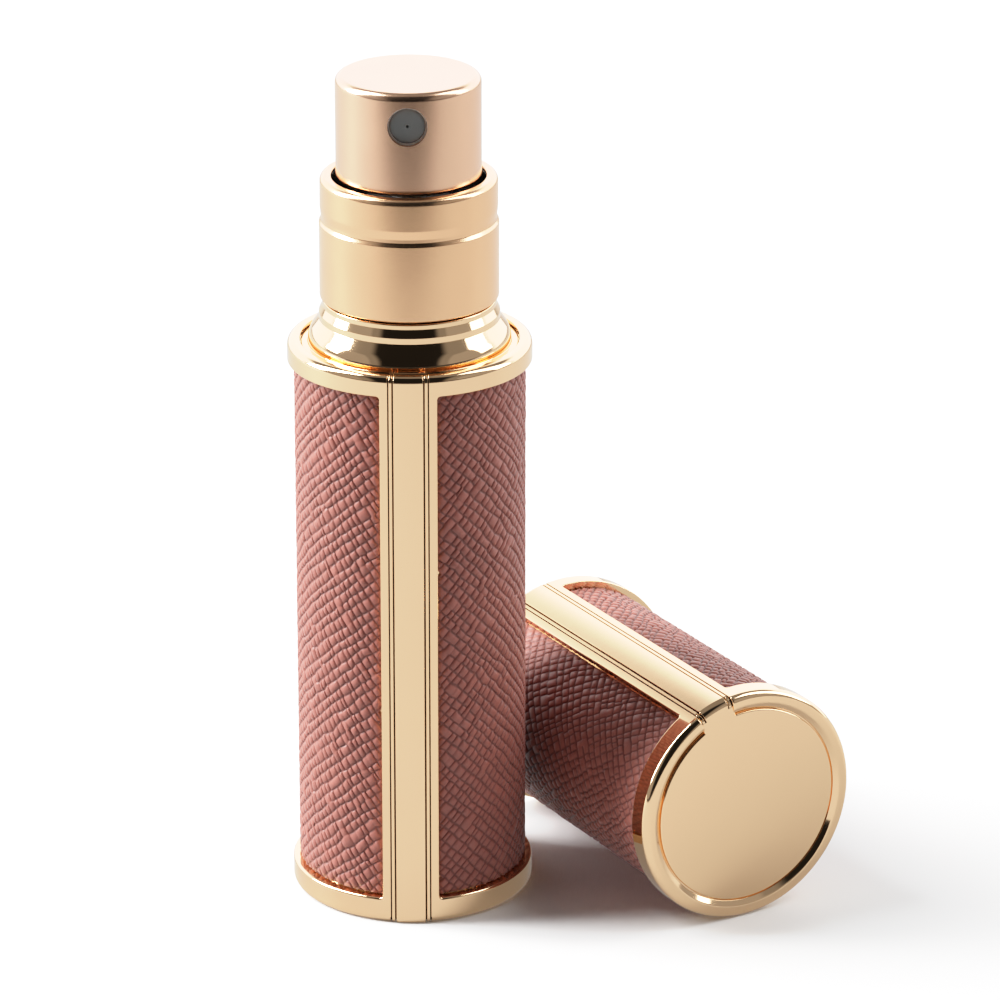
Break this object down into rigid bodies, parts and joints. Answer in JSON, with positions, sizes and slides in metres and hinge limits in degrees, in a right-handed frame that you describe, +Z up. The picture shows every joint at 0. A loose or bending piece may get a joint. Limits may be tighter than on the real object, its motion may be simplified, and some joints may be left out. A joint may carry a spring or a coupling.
{
  "type": "perfume atomiser",
  "caption": "Slim leather-wrapped travel perfume atomiser with gold trim, screw-on spray pump and removable cap beside it.",
  "frame": {"origin": "centre of the case's base on the surface that it stands on", "axes": "+Z up along the bottle; the front, with the metal strip and the nozzle, faces -Y; +X is to the right seen from the front"},
  "size_m": [0.0554, 0.0427, 0.0843],
  "materials": {
    "polished_gold": "polished pale gold plating",
    "satin_gold": "satin champagne gold anodising",
    "leather": "dusty rose, embossed crosshatch",
    "liner_plastic": "moulded",
    "glass": "clear",
    "clear_plastic": "moulded, translucent",
    "white_plastic": "moulded",
    "black_plastic": "moulded black",
    "gasket": "soft",
    "steel": "bright",
    "nozzle_grey": "moulded grey"
  },
  "bodies": {
    "case": {"case_core": "polished_gold", "case_frame": "polished_gold", "case_leather": "leather", "case_liner": "liner_plastic"},
    "refill": {"vial": "glass", "shoulder_ring": "polished_gold"},
    "pump": {"pump_housing": "clear_plastic", "pump_retainer": "black_plastic", "neck_gasket": "gasket", "stem_seal": "gasket", "dip_tube": "clear_plastic", "pump_spring": "steel"},
    "collar": {"collar_shell": "satin_gold", "collar_insert": "black_plastic"},
    "plunger": {"stem": "white_plastic", "piston": "white_plastic"},
    "spray_head": {"actuator_shell": "satin_gold", "actuator_core": "white_plastic", "nozzle_insert": "nozzle_grey"},
    "check_ball": {"check_ball": "steel"},
    "cap": {"cap_core": "polished_gold", "cap_frame": "polished_gold", "cap_leather": "leather", "cap_liner": "liner_plastic"}
  },
  "joints": [
    {"name": "refill_pull", "type": "slide", "parent": "case", "child": "refill", "axis": [0, 0, 1], "range_m": [0, 0.05]},
    {"name": "collar_turn", "type": "hinge", "parent": "pump", "child": "collar", "pos_m": [0, 0, 0.065], "axis": [0, 0, 1], "range_deg": [0, 540]},
    {"name": "pump_lift", "type": "slide", "parent": "refill", "child": "pump", "axis": [0, 0, 1], "range_m": [0, 0.00315]},
    {"name": "spray_press", "type": "slide", "parent": "pump", "child": "plunger", "axis": [0, 0, -1], "range_m": [0, 0.004], "stiffness_N_per_m": 3000, "deforming": ["pump_spring"]},
    {"name": "head_turn", "type": "hinge", "parent": "plunger", "child": "spray_head", "pos_m": [0, 0, 0.078], "axis": [0, 0, 1], "continuous": true},
    {"name": "ball_lift", "type": "slide", "parent": "pump", "child": "check_ball", "axis": [0, 0, 1], "range_m": [0, 0.0004]},
    {"name": "cap_slide", "type": "slide", "parent": "case", "child": "cap", "axis": [0.5075, -0.8616, 0], "range_m": [0, 0.035]}
  ],
  "couplings": [
    {"joint": "pump_lift", "follows": "collar_turn", "m_per_rad": 0.00033423}
  ]
}
